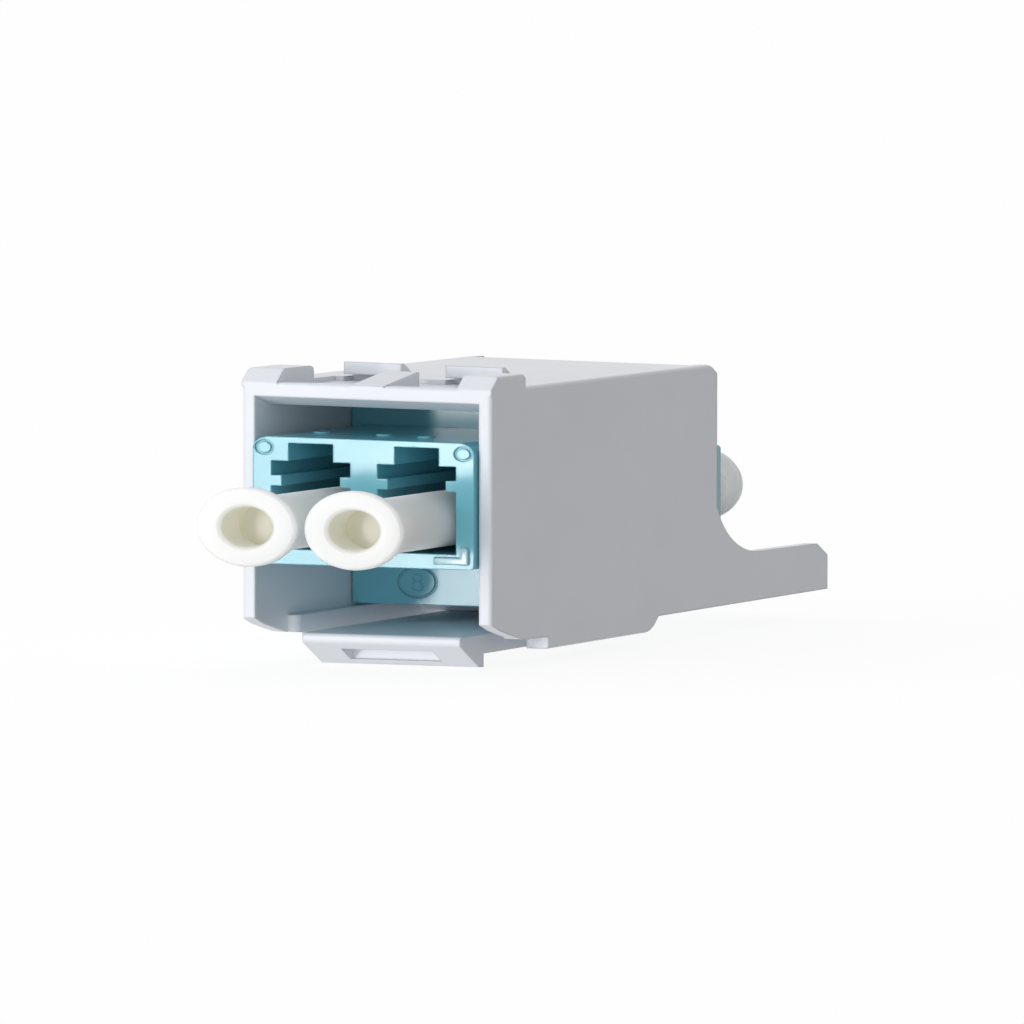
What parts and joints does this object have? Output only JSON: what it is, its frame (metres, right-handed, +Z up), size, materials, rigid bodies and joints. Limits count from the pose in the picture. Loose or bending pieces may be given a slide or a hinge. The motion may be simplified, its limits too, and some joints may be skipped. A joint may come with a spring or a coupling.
{
  "type": "lc fibre adapter",
  "caption": "Snap-in keystone module that holds a duplex LC fibre adapter, with sprung latch tongue, panel hooks, rear tray and pull-out dust plugs.",
  "frame": {"origin": "centre of the panel opening's width on the housing's front plane, level with the axes of the fibre ports", "axes": "+X across the module, +Y back through the panel, +Z up towards the hooks"},
  "size_m": [0.0148, 0.0502, 0.0221],
  "materials": {
    "housing_white": "fine satin moulding",
    "adapter_aqua": "satin gloss",
    "zirconia": "polished",
    "plug_white": "soft satin"
  },
  "bodies": {
    "module": {"keystone_housing": "housing_white", "adapter_front_half": "adapter_aqua", "adapter_rear_half": "adapter_aqua", "split_sleeve_left": "zirconia", "split_sleeve_right": "zirconia"},
    "latch": {"latch_tongue": "housing_white"},
    "plug_front_left": {"dust_plug_front_left": "plug_white"},
    "plug_front_right": {"dust_plug_front_right": "plug_white"},
    "plug_rear_left": {"dust_plug_rear_left": "plug_white"},
    "plug_rear_right": {"dust_plug_rear_right": "plug_white"}
  },
  "joints": [
    {"name": "latch_flex", "type": "hinge", "parent": "module", "child": "latch", "pos_m": [0, 0.0182, -0.00943], "axis": [-1, 0, 0], "range_deg": [0, 4.3], "stiffness_Nm_per_rad": 0.3},
    {"name": "front_left_plug_pull", "type": "slide", "parent": "module", "child": "plug_front_left", "axis": [0, -1, 0], "range_m": [0, 0.026]},
    {"name": "front_right_plug_pull", "type": "slide", "parent": "module", "child": "plug_front_right", "axis": [0, -1, 0], "range_m": [0, 0.026]},
    {"name": "rear_left_plug_pull", "type": "slide", "parent": "module", "child": "plug_rear_left", "axis": [0, 1, 0], "range_m": [0, 0.029]},
    {"name": "rear_right_plug_pull", "type": "slide", "parent": "module", "child": "plug_rear_right", "axis": [0, 1, 0], "range_m": [0, 0.029]}
  ]
}
